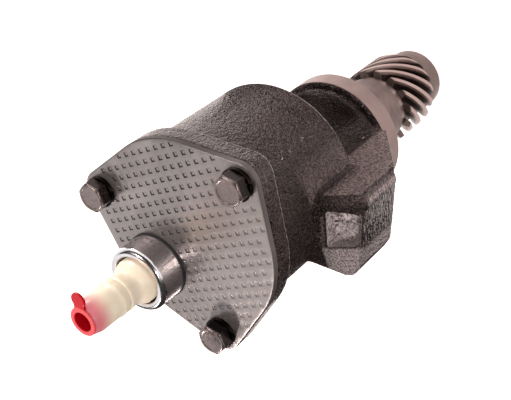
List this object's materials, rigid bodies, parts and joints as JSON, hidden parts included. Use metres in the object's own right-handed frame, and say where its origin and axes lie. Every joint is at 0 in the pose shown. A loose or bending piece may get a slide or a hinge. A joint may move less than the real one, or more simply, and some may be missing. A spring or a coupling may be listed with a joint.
{
  "type": "brake vacuum pump",
  "caption": "Gear-driven rotary vane vacuum pump with a lobed cover plate, a barbed vacuum nipple under a red dust plug, a side lug and a helical drive gear.",
  "frame": {"origin": "on the shaft axis at the rear face of the machined mounting disc", "axes": "+Z along the shaft from the drive gear to the cover plate, +Y from the shaft towards the centre of the chamber, +X towards the side lug"},
  "size_m": [0.0919, 0.0805, 0.1939],
  "materials": {
    "cast_iron_painted": "rough cast, glossy dark paint",
    "plate_steel": "satin, dimpled",
    "seal_rubber": "matt",
    "bolt_steel": "dark phosphated",
    "zinc_steel": "bright zinc",
    "nipple_plastic": "ivory, slightly translucent",
    "plug_plastic": "glossy",
    "gear_steel": "cut and hardened",
    "bronze": "plain sintered",
    "rotor_steel": "ground",
    "spring_steel": "plain",
    "vane_carbon": "moulded carbon compound"
  },
  "bodies": {
    "housing": {"pump_housing": "cast_iron_painted", "cover_plate": "plate_steel", "cover_seal_ring": "seal_rubber", "cover_bolts": "bolt_steel", "bolt_spring_washers": "bolt_steel", "port_ring": "zinc_steel", "port_ring_seal": "seal_rubber", "nipple_seal": "seal_rubber", "vacuum_nipple": "nipple_plastic", "valve_spring": "spring_steel", "valve_retainer": "zinc_steel", "thrust_washer": "bronze", "rear_bush": "bronze", "front_bush": "bronze", "outlet_reed": "spring_steel", "reed_stop": "spring_steel", "reed_screw": "zinc_steel"},
    "drive": {"gear_shaft": "gear_steel", "rotor": "rotor_steel", "rotor_key": "spring_steel", "rotor_circlip": "spring_steel"},
    "vane_a": {"vane_1": "vane_carbon"},
    "vane_b": {"vane_2": "vane_carbon"},
    "vane_c": {"vane_3": "vane_carbon"},
    "plug": {"dust_plug": "plug_plastic"},
    "valve": {"valve_disc": "seal_rubber"}
  },
  "joints": [
    {"name": "drive_spin", "type": "hinge", "parent": "housing", "child": "drive", "pos_m": [0, 0, 0], "axis": [0, 0, 1], "continuous": true},
    {"name": "vane_1_slide", "type": "slide", "parent": "drive", "child": "vane_a", "axis": [-0.8192, -0.5736, 0], "range_m": [-0.0094, 0]},
    {"name": "vane_2_slide", "type": "slide", "parent": "drive", "child": "vane_b", "axis": [-0.9063, 0.4226, 0], "range_m": [0, 0.0057]},
    {"name": "vane_3_slide", "type": "slide", "parent": "drive", "child": "vane_c", "axis": [0.0872, -0.9962, 0], "range_m": [0, 0.001]},
    {"name": "plug_pull", "type": "slide", "parent": "housing", "child": "plug", "axis": [0, 0, 1], "range_m": [0, 0.04]},
    {"name": "check_valve_lift", "type": "slide", "parent": "housing", "child": "valve", "axis": [0, 0, -1], "range_m": [0, 0.0015], "stiffness_N_per_m": 60, "springref_m": -0.002, "deforming": ["valve_spring"]}
  ]
}
